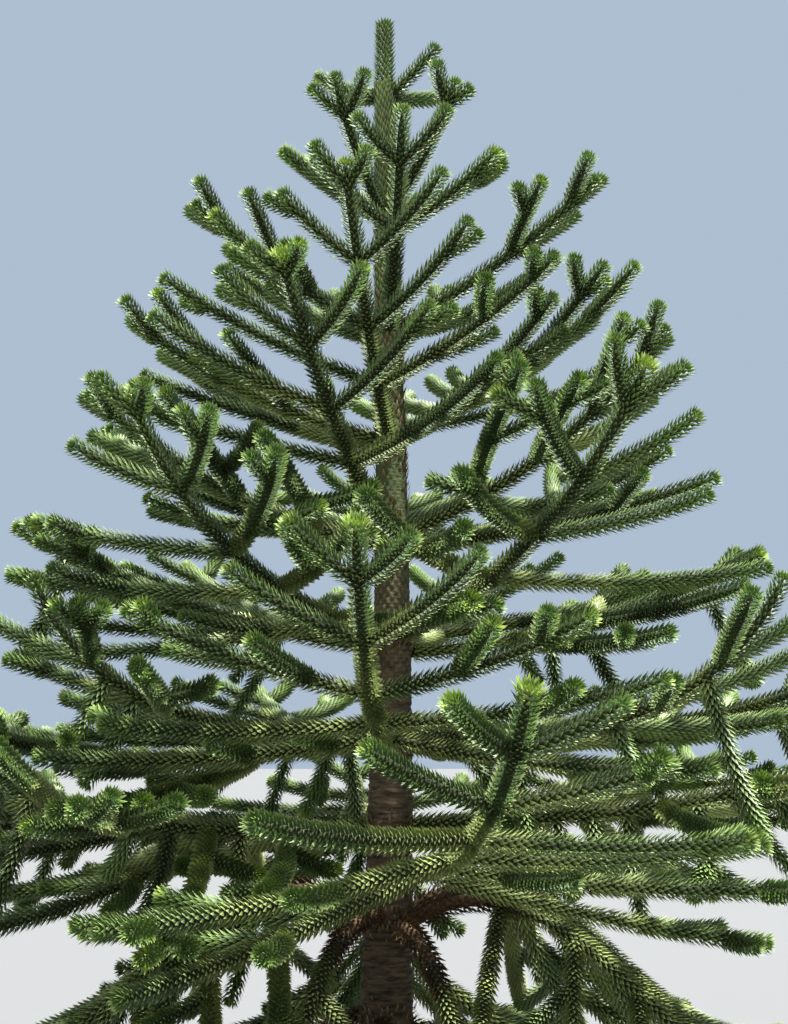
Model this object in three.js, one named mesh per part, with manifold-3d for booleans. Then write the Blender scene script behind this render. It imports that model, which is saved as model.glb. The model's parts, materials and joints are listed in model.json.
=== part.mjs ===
// Monkey puzzle tree, 4.2 m tall, in millimetres, +Z up.
// The origin is the centre of the flat cut under the trunk, at ground level.
// A swept trunk carries tiers of boughs. Each bough is a rope of scale leaves with pairs of side ropes.
import * as THREE from 'three';
import { mergeVertices } from 'three/addons/utils/BufferGeometryUtils.js';
import Module from 'manifold-3d';

const wasm = await Module();
wasm.setup();

// Trunk
const TREE_HEIGHT = 4230;
const TRUNK_TOP = 3930;
const TRUNK_SWEEP = 28;
const WAIST_HEIGHT = 2140;
const WAIST_RADIUS = 60;
const TIP_RADIUS = 24;
const SPREAD_BELOW_WAIST = 0.018;
const FLARE_RADIUS = 45;
const FLARE_HEIGHT = 120;
const ROOT_LOBES = 5;
const ROOT_LOBE_DEPTH = 0.14;
const TRUNK_SIDES = 14;
const TRUNK_RING_STEP = 260;
const FLARE_RINGS = [0, 40, 100];
const COLLAR_SWELL = 5;
const COLLAR_HEIGHT = 60;

// Branching rule
const SEED = 4231;
const DRAW_FACTOR = 16807;
const DRAW_MODULUS = 2147483647;
const SAMPLE_STEP = 30;
const BOUGH_START = 1;
const FORK_SPACING = 250;
const SPACING_DRAW = [0.92, 1.1];
const LENGTH_DRAW = [0.85, 1.12];
const SPREAD_DRAW = [48, 60];
const OLD_SPREAD = 20;
const ROPE_CLEARANCE = 54;
const PARENT_CLEARANCE = 43;
const TRUNK_CLEARANCE = 50;
const GROUND_CLEARANCE = 70;
const SIDE_SWING = 14;
const SIDE_BEND = 1.3;
const SIDE_LENGTH_BASE = 90;
const SIDE_LENGTH_SHARE = 0.92;
const SIDE_LENGTH_LIMIT = 1100;
const SHORTEST_SHOOT = 100;
const SHORTENED_TO = [1, 0.75, 0.55];
const FULL_AGE_REACH = 1100;
const RISE_CARRIED_OVER = 0.3;
const LEVEL_RISE = 20;

// Solid shoots and leaves
const GAP = 0.3;
const MERGE_WITHIN = 0.001;
const BOUGH_RADIUS = 24;
const SIDE_RADIUS = 20;
const LIMB_RADIUS = 28;
const SHOOT_TAPER = 0.8;
const ROOT_NARROWING = 0.6;
const POINTED_TIP = 60;
const BOUGH_SIDES = 4;
const SIDE_SIDES = 3;
const LIMB_SIDES = 7;
const LEADER_SIDES = 6;
const LEADER_SEGMENT = 90;
const BOUGH_SEGMENT = 280;
const SIDE_SEGMENT = 420;
const SIMPLIFY_WITHIN = 2.5;
const ROOT_SINK = 14;
const LEADER_SINK = 34;
const LEAF_LENGTH = 52;
const LEAF_HALF_WIDTH = 7;
const LEAF_THICKNESS = 0.6;
const LEAF_LEAN = 48;
const LEAF_STEP = 1400;
const LEAF_CLEARANCE = 40;
const LEAF_OFF_TRUNK = 12;
const FIRST_LEAF = 75;
const LEAFLESS_ROOT = 60;
const LEADER_LEAVES = 8;
const LEADER_LEAF_STEP = 28;

// Each tier has its height on the trunk, the rise of its side shoots near the trunk and near the tip,
// how much they turn up, how long they are for their distance from the tip, the bough's stretch without
// side shoots, how much its rise droops halfway along, and the leafless limb, if any. Its boughs are azimuth,
// height over the tier's, length, rise at the trunk, rise at the tip, how late the rise changes, and the last
// fork's distance from the tip.
const TIERS = [
  {
    height: 3950, oldRise: 20, newRise: 30, upturn: 5, wander: 6, reach: 0, bare: 500, droop: 0, limb: 0,
    boughs: [[-12, 0, 240, 42, 48, 1, 500], [172, -20, 250, 18, 32, 1, 500],
      [118, 10, 220, 12, 20, 1, 500], [38, -10, 240, 10, 20, 1, 500]],
  },
  {
    height: 3500, oldRise: 25, newRise: 28, upturn: 8, wander: 6, reach: 0.7, bare: 160, droop: 0, limb: 0,
    boughs: [[-113, 0, 550, 30, 52, 1, 160], [-57, 20, 530, 28, 52, 1, 100],
      [14, -20, 480, 28, 36, 1, 140], [150, 10, 500, 32, 44, 1, 140], [88, -10, 420, 20, 35, 1, 150]],
  },
  {
    height: 3080, oldRise: 16, newRise: 28, upturn: 10, wander: 6, reach: 0.85, bare: 200, droop: 0, limb: 0,
    boughs: [[-86, 0, 840, 34, 50, 1, 200], [-18, 20, 850, 24, 42, 1, 140],
      [-170, 0, 780, 26, 42, 1, 160], [140, -20, 760, 20, 34, 1, 160], [52, 10, 780, 14, 32, 1, 160]],
  },
  {
    height: 2700, oldRise: 10, newRise: 26, upturn: 12, wander: 6, reach: 0.92, bare: 200, droop: 0, limb: 0,
    boughs: [[-99, 0, 1080, 30, 50, 1, 90], [2, 20, 960, 24, 46, 1, 200], [-178, 0, 950, 14, 38, 1, 120],
      [140, -20, 1020, 12, 34, 1, 140], [72, 20, 1000, 12, 34, 1, 160]],
  },
  {
    height: 2350, oldRise: 2, newRise: 26, upturn: 14, wander: 8, reach: 0.95, bare: 220, droop: 0, limb: 0,
    boughs: [[-109, 0, 1200, 27, 48, 1, 80], [-25, 20, 1140, 16, 52, 1, 140],
      [-160, -20, 1120, 8, 42, 1, 140], [152, 30, 1200, 6, 32, 1, 140], [98, 0, 1200, 6, 32, 1, 160],
      [36, -30, 1160, 8, 34, 1, 160]],
  },
  {
    height: 2000, oldRise: -2, newRise: 24, upturn: 14, wander: 9, reach: 0.95, bare: 240, droop: 0, limb: 0,
    boughs: [[-54, 20, 1420, 14, 55, 1.4, 160], [-128, 0, 1380, 10, 60, 1.6, 80],
      [-171, -20, 1280, 6, 30, 1, 140], [128, 30, 1380, 0, 30, 1, 160], [72, 0, 1380, 2, 30, 1, 160],
      [6, -40, 1280, 4, 28, 1, 160]],
  },
  {
    height: 1680, oldRise: -4, newRise: 22, upturn: 14, wander: 5, reach: 0.98, bare: 180, droop: 0, limb: 0,
    boughs: [[-94, -20, 1460, 0, 58, 1.4, 200], [-36, 0, 1520, -2, 66, 2.2, 340],
      [-145, 20, 1400, -2, 70, 2.2, 340], [178, -30, 1580, -6, 16, 1.5, 160],
      [112, 40, 1500, -6, 26, 1.5, 160], [62, -10, 1520, -6, 26, 1.5, 160],
      [14, 20, 1580, -3, 20, 1.5, 160]],
  },
  {
    height: 1370, oldRise: -10, newRise: 20, upturn: 12, wander: 7, reach: 1.05, bare: 200, droop: 0, limb: 0,
    boughs: [[-79, -130, 1830, 4, 57, 2.8, 220], [-154, 0, 1660, 0, 60, 2.6, 340],
      [-20, 20, 1660, 3, 34, 2.6, 300], [160, -30, 1620, 3, 16, 2, 160], [96, 30, 1600, -3, 26, 2, 160],
      [38, 0, 1620, 3, 20, 2, 160]],
  },
  {
    height: 1080, oldRise: -30, newRise: 2, upturn: 14, wander: 12, reach: 1, bare: 320, droop: 62, limb: 300,
    boughs: [[-112, 10, 1500, 12, 10, 1, 200], [-28, -10, 1600, 36, 12, 1, 200],
      [-68, -20, 1350, 4, 6, 1, 200], [-152, 20, 1560, 38, 12, 1, 200], [20, 20, 1600, 34, 10, 1, 200],
      [160, -20, 1600, 34, 12, 1, 200], [95, 0, 1560, 24, 20, 1, 200]],
  },
  {
    height: 760, oldRise: -26, newRise: 2, upturn: 14, wander: 12, reach: 0.95, bare: 320, droop: 0, limb: 0,
    boughs: [[-93, 0, 1400, -18, 16, 2.4, 200], [-168, 20, 1450, -20, 22, 2.4, 200],
      [-8, -20, 1450, -20, 22, 2.4, 200], [80, 0, 1350, -18, 18, 2.4, 200]],
  },
];

const radians = THREE.MathUtils.degToRad;

// Seeded draws
class Draws {
  constructor(seed) {
    this.state = seed;
  }

  between(low, high) {
    this.state = (this.state * DRAW_FACTOR) % DRAW_MODULUS;
    return low + (high - low) * this.state / DRAW_MODULUS;
  }
}

// The trunk's centre line leans gently to +X and comes back
function trunkCentre(height) {
  const share = Math.min(Math.max(height, 0), TREE_HEIGHT) / TREE_HEIGHT;
  return TRUNK_SWEEP * Math.sin(Math.PI * share) ** 2;
}

function trunkRadius(height) {
  if (height > WAIST_HEIGHT) {
    const share = (height - WAIST_HEIGHT) / (TREE_HEIGHT - WAIST_HEIGHT);
    return WAIST_RADIUS + (TIP_RADIUS - WAIST_RADIUS) * share;
  }
  const flare = FLARE_RADIUS * Math.exp(-height / FLARE_HEIGHT);
  return WAIST_RADIUS + (WAIST_HEIGHT - height) * SPREAD_BELOW_WAIST + flare;
}

// One leafy shoot: a run of points whose heading swings and whose rise changes along it
class Shoot {
  constructor(start, shape, place) {
    Object.assign(this, shape, place);
    const count = Math.max(2, Math.ceil(this.length / SAMPLE_STEP));
    const step = this.length / count;
    this.points = [start.clone()];
    for (let i = 0; i < count; i += 1) {
      const direction = this.directionAt(this.length * (i + 0.5) / count);
      this.points.push(this.points[i].clone().addScaledVector(direction, step));
    }
  }

  headingAt(distance) {
    return this.azimuth + this.swing * distance / this.length;
  }

  riseAt(distance) {
    const share = Math.max(distance / this.length, 0);
    const drooped = this.droop * Math.sin(Math.PI * Math.min(share, 1));
    return this.riseStart + (this.riseEnd - this.riseStart) * share ** this.bend - drooped;
  }

  directionAt(distance) {
    const rise = radians(this.riseAt(distance));
    const heading = radians(this.headingAt(distance));
    return new THREE.Vector3(
      Math.cos(rise) * Math.cos(heading), Math.cos(rise) * Math.sin(heading), Math.sin(rise));
  }

  // The direction square to the shoot that leans least from straight up
  upAt(distance) {
    const rise = radians(this.riseAt(distance));
    const heading = radians(this.headingAt(distance));
    return new THREE.Vector3(
      -Math.sin(rise) * Math.cos(heading), -Math.sin(rise) * Math.sin(heading), Math.cos(rise));
  }

  // A distance below zero carries on back through the root
  pointAt(distance) {
    if (distance < 0) {
      return this.points[0].clone().addScaledVector(this.directionAt(0), distance);
    }
    const last = this.points.length - 1;
    const place = Math.min(distance / this.length, 1) * last;
    const index = Math.min(Math.floor(place), last - 1);
    return this.points[index].clone().lerp(this.points[index + 1], place - index);
  }
}

// Boughs and side shoots
class Skeleton {
  constructor() {
    this.draws = new Draws(SEED);
    this.shoots = [];
    this.growBoughs();
    this.growSides();
  }

  // The first bough of every tier comes before the second
  growBoughs() {
    const most = Math.max(...TIERS.map((tier) => tier.boughs.length));
    for (let boughIndex = 0; boughIndex < most; boughIndex += 1) {
      TIERS.forEach((tier, tierIndex) => {
        if (boughIndex < tier.boughs.length) {
          const [azimuth, lift, length, riseStart, riseEnd, bend, fork] = tier.boughs[boughIndex];
          const height = tier.height + lift;
          const radius = trunkRadius(height) + BOUGH_START;
          const x = trunkCentre(height) + radius * Math.cos(radians(azimuth));
          const y = radius * Math.sin(radians(azimuth));
          const start = new THREE.Vector3(x, y, height);
          const shape = { azimuth, swing: 0, riseStart, riseEnd, bend, droop: tier.droop, length };
          const bough = this.shoots.length;
          const place = { level: 0, tier, tierIndex, boughIndex, fork, bough, parent: -1 };
          this.shoots.push(new Shoot(start, shape, place));
        }
      });
    }
  }

  growSides() {
    const boughs = [...this.shoots];
    for (const bough of boughs) {
      if (bough.tier.reach > 0) {
        this.growPairs(bough, bough.tier);
      }
    }
  }

  // Pairs of side shoots from the last fork back to the bare stretch by the trunk
  growPairs(bough, tier) {
    let fromTip = bough.fork;
    while (bough.length - fromTip > tier.bare) {
      const age = Math.min(1, fromTip / FULL_AGE_REACH);
      const riseHere = bough.riseAt(bough.length - fromTip);
      for (const side of [-1, 1]) {
        const fullLength = SIDE_LENGTH_BASE + tier.reach * fromTip * SIDE_LENGTH_SHARE;
        const length = Math.min(fullLength * this.draws.between(...LENGTH_DRAW), SIDE_LENGTH_LIMIT);
        const rise = tier.newRise * (1 - age) + tier.oldRise * age
          + RISE_CARRIED_OVER * (riseHere - LEVEL_RISE) + this.draws.between(-tier.wander, tier.wander);
        const turn = side * (this.draws.between(...SPREAD_DRAW) + OLD_SPREAD * age);
        this.addSide(bough, bough.length - fromTip, { side, turn, length, rise });
      }
      fromTip += FORK_SPACING * this.draws.between(...SPACING_DRAW);
    }
  }

  // A side shoot is shortened until it is clear of its neighbours, or skipped
  addSide(parent, distance, { side, turn, length, rise }) {
    const start = parent.pointAt(distance);
    for (const share of SHORTENED_TO) {
      const shape = {
        azimuth: parent.headingAt(distance) + turn,
        swing: -side * SIDE_SWING,
        riseStart: rise,
        riseEnd: rise + parent.tier.upturn,
        bend: SIDE_BEND,
        droop: 0,
        length: length * share,
      };
      const place = {
        level: 1, tier: parent.tier, bough: parent.bough, parent: this.shoots.indexOf(parent),
      };
      const shoot = new Shoot(start, shape, place);
      if (shape.length >= SHORTEST_SHOOT && this.isClear(shoot)) {
        this.shoots.push(shoot);
        return;
      }
    }
  }

  isClear(shoot) {
    const outer = shoot.points.slice(2);
    for (const point of outer) {
      const fromTrunk = Math.hypot(point.x - trunkCentre(point.z), point.y);
      if (point.z < TREE_HEIGHT && fromTrunk < trunkRadius(point.z) + TRUNK_CLEARANCE) {
        return false;
      }
      if (point.z < GROUND_CLEARANCE) {
        return false;
      }
    }
    return this.shoots.every((other, index) => {
      const isParent = index === shoot.parent;
      const tested = isParent ? outer.slice(2) : outer;
      const clearance = isParent ? PARENT_CLEARANCE : ROPE_CLEARANCE;
      return tested.every((point) => other.points.every((near) => point.distanceTo(near) >= clearance));
    });
  }

  // True where a point is no nearer than the clearance to the shoots of any other bough
  isClearOfOthers(point, bough, clearance) {
    return this.shoots.every((other) => other.bough === bough
      || other.points.every((near) => point.distanceTo(near) >= clearance));
  }
}

function solidFrom(geometry) {
  geometry.deleteAttribute('normal');
  geometry.deleteAttribute('uv');
  const merged = mergeVertices(geometry, MERGE_WITHIN);
  const corners = [];
  for (let i = 0; i < merged.index.count; i += 3) {
    const face = [merged.index.getX(i), merged.index.getX(i + 1), merged.index.getX(i + 2)];
    if (new Set(face).size === 3) {
      corners.push(...face);
    }
  }
  return new wasm.Manifold(new wasm.Mesh({
    numProp: 3,
    vertProperties: new Float32Array(merged.attributes.position.array),
    triVerts: new Uint32Array(corners),
  }));
}

function geometryFrom(solid) {
  const mesh = solid.getMesh();
  const geometry = new THREE.BufferGeometry();
  geometry.setAttribute('position', new THREE.BufferAttribute(mesh.vertProperties, 3));
  geometry.setIndex(new THREE.BufferAttribute(mesh.triVerts, 1));
  geometry.computeVertexNormals();
  return geometry;
}

// The largest piece of a solid, so that no loose scrap stays
function largestPiece(solid) {
  const pieces = solid.decompose();
  return pieces.reduce((best, piece) => (piece.volume() > best.volume() ? piece : best));
}

// The trunk's surface with root lobes and a collar at each tier, grown outwards by an offset
function trunkSolid(offset) {
  const profile = [new THREE.Vector2(0, 0)];
  const rings = Math.round(TRUNK_TOP / TRUNK_RING_STEP);
  const heights = [...FLARE_RINGS];
  for (let i = 1; i <= rings; i += 1) {
    heights.push(TRUNK_TOP * i / rings);
  }
  for (const height of heights) {
    profile.push(new THREE.Vector2(trunkRadius(height) + offset, height));
  }
  const top = TRUNK_TOP + offset;
  profile[profile.length - 1].y = top;
  profile.push(new THREE.Vector2(0, top));
  const geometry = new THREE.LatheGeometry(profile, TRUNK_SIDES);
  geometry.rotateX(Math.PI / 2);
  const position = geometry.attributes.position;
  for (let i = 0; i < position.count; i += 1) {
    const height = position.getZ(i);
    const angle = Math.atan2(position.getY(i), position.getX(i));
    const lobe = 1 + ROOT_LOBE_DEPTH * Math.cos(ROOT_LOBES * angle) * Math.exp(-height / FLARE_HEIGHT);
    const collar = TIERS.reduce((swell, tier) => swell
      + COLLAR_SWELL * Math.exp(-(((height - tier.height) / COLLAR_HEIGHT) ** 2)), 0);
    const radius = Math.hypot(position.getX(i), position.getY(i));
    const swollen = radius > 0 ? radius * lobe + collar : 0;
    position.setX(i, swollen * Math.cos(angle) + trunkCentre(height));
    position.setY(i, swollen * Math.sin(angle));
  }
  return solidFrom(geometry);
}

// A tapered tube that follows a shoot between two distances along it, pointed at the tip if asked
function tubeAlong(shoot, from, to, radii, sides, segmentLength, pointed) {
  const length = to - from;
  const tipLength = pointed ? Math.min(POINTED_TIP, length / 3) : 0;
  const segments = Math.max(1, Math.round((length - tipLength) / segmentLength)) + (pointed ? 1 : 0);
  const evenSegments = pointed ? segments - 1 : segments;
  const geometry = new THREE.CylinderGeometry(1, 1, 1, sides, segments);
  const position = geometry.attributes.position;
  for (let i = 0; i < position.count; i += 1) {
    const ring = Math.round((position.getY(i) + 0.5) * segments);
    const share = Math.min(ring / evenSegments, 1);
    const atTip = ring > evenSegments;
    const distance = atTip ? to : from + (length - tipLength) * share;
    const narrowing = ring === 0 ? radii.narrowing : 1;
    const radius = atTip ? 0 : (radii.start + (radii.end - radii.start) * share) * narrowing;
    const along = shoot.directionAt(Math.max(distance, 0));
    const up = shoot.upAt(Math.max(distance, 0));
    const side = along.clone().cross(up);
    const turn = Math.atan2(position.getX(i), position.getZ(i)) + Math.PI / sides;
    const reach = Math.hypot(position.getX(i), position.getZ(i)) * radius;
    const point = shoot.pointAt(distance);
    point.addScaledVector(side, Math.sin(turn) * reach);
    point.addScaledVector(up, Math.cos(turn) * reach);
    position.setXYZ(i, point.x, point.y, point.z);
  }
  return solidFrom(geometry);
}

// One large scale leaf, rooted in the core at a distance along the shoot and turned about it
function leafSolid(shoot, distance, turn) {
  const along = shoot.directionAt(distance);
  const up = shoot.upAt(distance);
  const side = along.clone().cross(up);
  const outward = side.multiplyScalar(Math.sin(turn)).addScaledVector(up, Math.cos(turn));
  const lean = radians(LEAF_LEAN);
  const pointing = along.clone().multiplyScalar(Math.cos(lean)).addScaledVector(outward, Math.sin(lean));
  const across = along.clone().cross(outward);
  const geometry = new THREE.ConeGeometry(LEAF_HALF_WIDTH, LEAF_LENGTH, 3);
  geometry.translate(0, LEAF_LENGTH / 2, 0);
  geometry.scale(1, 1, LEAF_THICKNESS);
  geometry.applyMatrix4(new THREE.Matrix4().makeBasis(across, pointing, across.clone().cross(pointing)));
  const root = shoot.pointAt(distance);
  geometry.translate(root.x, root.y, root.z);
  return { solid: solidFrom(geometry), tip: root.addScaledVector(pointing, LEAF_LENGTH) };
}

// Leaves stand out of the flat faces of the core, closest together towards the tip
function leavesOn(shoot, skeleton, from, sides) {
  const solids = [];
  let distance = shoot.length - FIRST_LEAF;
  let turn = radians(360 / sides) * skeleton.shoots.indexOf(shoot);
  while (distance > from) {
    const leaf = leafSolid(shoot, distance, turn);
    const fromTrunk = Math.hypot(leaf.tip.x - trunkCentre(leaf.tip.z), leaf.tip.y);
    const aboveTrunk = leaf.tip.z > TRUNK_TOP + LEAF_LENGTH;
    const offTrunk = aboveTrunk || fromTrunk > trunkRadius(leaf.tip.z) + LEAF_OFF_TRUNK;
    if (offTrunk && skeleton.isClearOfOthers(leaf.tip, shoot.bough, LEAF_CLEARANCE)) {
      solids.push(leaf.solid);
    }
    turn += radians(360 / sides);
    distance -= LEAF_STEP;
  }
  return solids;
}

// A bough's side shoots with their leaves
function sideSolids(bough, skeleton) {
  const solids = [];
  for (const shoot of skeleton.shoots) {
    if (shoot.bough === bough.bough && shoot.level === 1) {
      const radii = { start: SIDE_RADIUS, end: SIDE_RADIUS * SHOOT_TAPER, narrowing: ROOT_NARROWING };
      solids.push(tubeAlong(shoot, 0, shoot.length, radii, SIDE_SIDES, SIDE_SEGMENT, true));
      solids.push(...leavesOn(shoot, skeleton, LEAFLESS_ROOT, SIDE_SIDES));
    }
  }
  return solids;
}

function foliageSolid(bough, skeleton, trunkRoom) {
  const from = bough.tier.limb > 0 ? bough.tier.limb + GAP : -ROOT_SINK;
  const radii = { start: BOUGH_RADIUS, end: BOUGH_RADIUS * SHOOT_TAPER, narrowing: 1 };
  const stem = tubeAlong(bough, from, bough.length, radii, BOUGH_SIDES, BOUGH_SEGMENT, true);
  const leaves = leavesOn(bough, skeleton, Math.max(from, 0) + LEAFLESS_ROOT, BOUGH_SIDES);
  const joined = wasm.Manifold.union([stem, ...leaves, ...sideSolids(bough, skeleton)]);
  return largestPiece(joined.simplify(SIMPLIFY_WITHIN).subtract(trunkRoom));
}

function limbSolid(bough, trunkRoom) {
  const radii = { start: LIMB_RADIUS, end: BOUGH_RADIUS, narrowing: 1 };
  const limb = tubeAlong(bough, -ROOT_SINK, bough.tier.limb, radii, LIMB_SIDES, BOUGH_SEGMENT, false);
  return largestPiece(limb.subtract(trunkRoom));
}

// The leader is this year's leafy shoot on the trunk's tip, with the first tier fused to it
function crownTopSolid(skeleton) {
  const base = TRUNK_TOP + GAP;
  const leader = new Shoot(
    new THREE.Vector3(trunkCentre(base), 0, base),
    { azimuth: 0, swing: 0, riseStart: 90, riseEnd: 90, bend: 1, droop: 0, length: TREE_HEIGHT - base },
    { level: 0, bough: -1, parent: -1 },
  );
  const leaderRadii = { start: trunkRadius(base), end: TIP_RADIUS * SHOOT_TAPER, narrowing: 1 };
  const solids = [tubeAlong(leader, 0, leader.length, leaderRadii, LEADER_SIDES, LEADER_SEGMENT, true)];
  for (let i = 0; i < LEADER_LEAVES; i += 1) {
    const distance = leader.length - FIRST_LEAF - LEADER_LEAF_STEP * i;
    solids.push(leafSolid(leader, distance, radians(360 / LEADER_SIDES) * (2 * i + (i % 2))).solid);
  }
  for (const shoot of skeleton.shoots) {
    if (shoot.tierIndex === 0) {
      const radii = { start: SIDE_RADIUS, end: SIDE_RADIUS * SHOOT_TAPER, narrowing: ROOT_NARROWING };
      solids.push(tubeAlong(shoot, -LEADER_SINK, shoot.length, radii, SIDE_SIDES, SIDE_SEGMENT, true));
      solids.push(...leavesOn(shoot, skeleton, LEAFLESS_ROOT, SIDE_SIDES));
    }
  }
  const below = trunkSolid(GAP);
  return largestPiece(wasm.Manifold.union(solids).subtract(below));
}

function barkMaterial() {
  return new THREE.MeshStandardMaterial({ color: 0x4f3d2e, roughness: 0.92, metalness: 0 });
}

function deadLeafMaterial() {
  return new THREE.MeshStandardMaterial({ color: 0x6b4a2c, roughness: 0.9, metalness: 0 });
}

// Foliage is brighter towards the top of the tree
function leafMaterial(height) {
  const share = height / TREE_HEIGHT;
  const color = new THREE.Color(0x2c4722).lerp(new THREE.Color(0x55742f), share);
  return new THREE.MeshStandardMaterial({ color, roughness: 0.55, metalness: 0 });
}

// A mesh whose origin is at the root of its piece
function placed(name, solid, root, material) {
  const geometry = geometryFrom(solid);
  geometry.translate(-root.x, -root.y, -root.z);
  const mesh = new THREE.Mesh(geometry, material);
  mesh.name = name;
  mesh.position.copy(root);
  return mesh;
}

function buildTree() {
  const skeleton = new Skeleton();
  const trunk = trunkSolid(0);
  const trunkRoom = trunkSolid(GAP);
  const tree = new THREE.Group();
  tree.add(placed('trunk', trunk, new THREE.Vector3(), barkMaterial()));
  const top = new THREE.Vector3(trunkCentre(TRUNK_TOP), 0, TRUNK_TOP);
  tree.add(placed('crown_top', crownTopSolid(skeleton), top, leafMaterial(TREE_HEIGHT)));
  for (const bough of skeleton.shoots) {
    if (bough.level === 0 && bough.tierIndex > 0) {
      const label = `${bough.tierIndex + 1}_${bough.boughIndex + 1}`;
      const root = bough.points[0];
      if (bough.tier.limb > 0) {
        tree.add(placed(`limb_${label}`, limbSolid(bough, trunkRoom), root, deadLeafMaterial()));
      }
      const foliage = foliageSolid(bough, skeleton, trunkRoom);
      tree.add(placed(`foliage_${label}`, foliage, root, leafMaterial(root.z)));
    }
  }
  return tree;
}

const group = buildTree();

export default group;
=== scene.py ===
"""Monkey puzzle tree, 4.2 m tall: a swept trunk with tiers of boughs clad in sharp scale leaves.

The branching rule works in millimetres, as the tree's sizes are stated, and meshes are made in metres.
"""

import json
import logging
import math
from collections.abc import Iterator
from dataclasses import dataclass, field
from enum import Enum
from functools import cache

import bpy
import numpy as np
from bpy.types import Material, Mesh, Node, NodeOutputs, NodeSocket, NodeTree, Object
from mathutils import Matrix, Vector, noise

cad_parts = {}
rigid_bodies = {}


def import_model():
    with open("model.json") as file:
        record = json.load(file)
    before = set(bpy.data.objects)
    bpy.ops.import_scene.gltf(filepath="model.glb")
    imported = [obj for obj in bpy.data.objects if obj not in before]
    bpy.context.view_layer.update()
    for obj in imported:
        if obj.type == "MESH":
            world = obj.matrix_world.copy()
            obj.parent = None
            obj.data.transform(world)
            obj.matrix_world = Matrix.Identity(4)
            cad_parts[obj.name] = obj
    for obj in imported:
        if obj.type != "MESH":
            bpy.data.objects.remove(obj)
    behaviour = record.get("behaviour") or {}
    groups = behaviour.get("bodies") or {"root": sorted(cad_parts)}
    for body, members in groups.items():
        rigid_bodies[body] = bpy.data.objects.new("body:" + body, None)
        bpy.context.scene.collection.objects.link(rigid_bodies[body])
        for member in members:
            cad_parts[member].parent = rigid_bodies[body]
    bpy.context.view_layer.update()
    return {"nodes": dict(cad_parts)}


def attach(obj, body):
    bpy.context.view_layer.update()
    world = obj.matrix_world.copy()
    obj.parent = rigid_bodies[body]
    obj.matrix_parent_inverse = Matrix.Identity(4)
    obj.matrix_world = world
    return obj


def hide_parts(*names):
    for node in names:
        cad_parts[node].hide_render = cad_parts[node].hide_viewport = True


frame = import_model()
LOG = logging.getLogger("tree")
Array = np.ndarray
Numbers = Array | float
Colour = tuple[float, float, float]

MM = 0.001
GOLDEN_ANGLE = math.pi * (3 - math.sqrt(5))

# Trunk, in millimetres
TREE_HEIGHT = 4230
TRUNK_TOP = 3930
TRUNK_SWEEP = 28
WAIST_HEIGHT = 2140
WAIST_RADIUS = 60
TIP_RADIUS = 24
SPREAD_BELOW_WAIST = 0.018
FLARE_RADIUS = 45
FLARE_HEIGHT = 120
ROOT_LOBES = 5
ROOT_LOBE_DEPTH = 0.14
COLLAR_SWELL = 5
COLLAR_HEIGHT = 60

# Branching rule, in millimetres and degrees
SEED = 4231
DRAW_FACTOR = 16807
DRAW_MODULUS = 2147483647
SAMPLE_STEP = 30
BOUGH_START = 1
FORK_SPACING = 250
SPACING_DRAW = (0.92, 1.1)
LENGTH_DRAW = (0.85, 1.12)
SPREAD_DRAW = (48, 60)
OLD_SPREAD = 20
ROPE_CLEARANCE = 54
PARENT_CLEARANCE = 43
POINTS_BY_ROOT = 2
TRUNK_CLEARANCE = 50
GROUND_CLEARANCE = 70
SIDE_SWING = 14
SIDE_BEND = 1.3
SIDE_LENGTH_BASE = 90
SIDE_LENGTH_SHARE = 0.92
SIDE_LENGTH_LIMIT = 1100
SHORTEST_SHOOT = 100
SHORTENED_TO = (1, 0.75, 0.55)
FULL_AGE_REACH = 1100
RISE_CARRIED_OVER = 0.3
LEVEL_RISE = 20

# Shoots that hang from the low boughs
HANGING_SPACING = 115
HANGING_TURN_DRAW = (20, 80)
HANGING_LENGTH_DRAW = (240, 560)
HANGING_RISE_DRAW = (-82, -52)
HANGING_UPTURN = 14

# Fine twigs on the side shoots
TWIG_BEARER_LENGTH = 300
TWIG_FIRST_DRAW = (100, 200)
TWIG_ROOT_MARGIN = 140
TWIG_SKIPPED = 0.66
TWIG_LENGTH_BASE = 80
TWIG_LENGTH_SHARE = 0.55
TWIG_LENGTH_LIMIT = 340
TWIG_LENGTH_DRAW = (0.8, 1.15)
TWIG_SPREAD_DRAW = (45, 58)
TWIG_SPACING_DRAW = (0.85, 1.15)
TWIG_RISE_SHARE = 0.7
TWIG_WANDER = 8
TWIG_UPTURN = 14


@dataclass(frozen=True)
class Tier:
    """One ring of boughs.

    A bough is its azimuth, height over the ring's, length, rise at the trunk, rise at the tip, how late the
    rise changes, and the last fork's distance from the tip. Droop takes from its rise halfway along.
    """

    height: float
    old_rise: float
    new_rise: float
    reach: float
    boughs: tuple[tuple[float, ...], ...]
    upturn: float = 14
    wander: float = 6
    bare: float = 200
    droop: float = 0
    limb: float = 0
    hanging: float = 0


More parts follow.
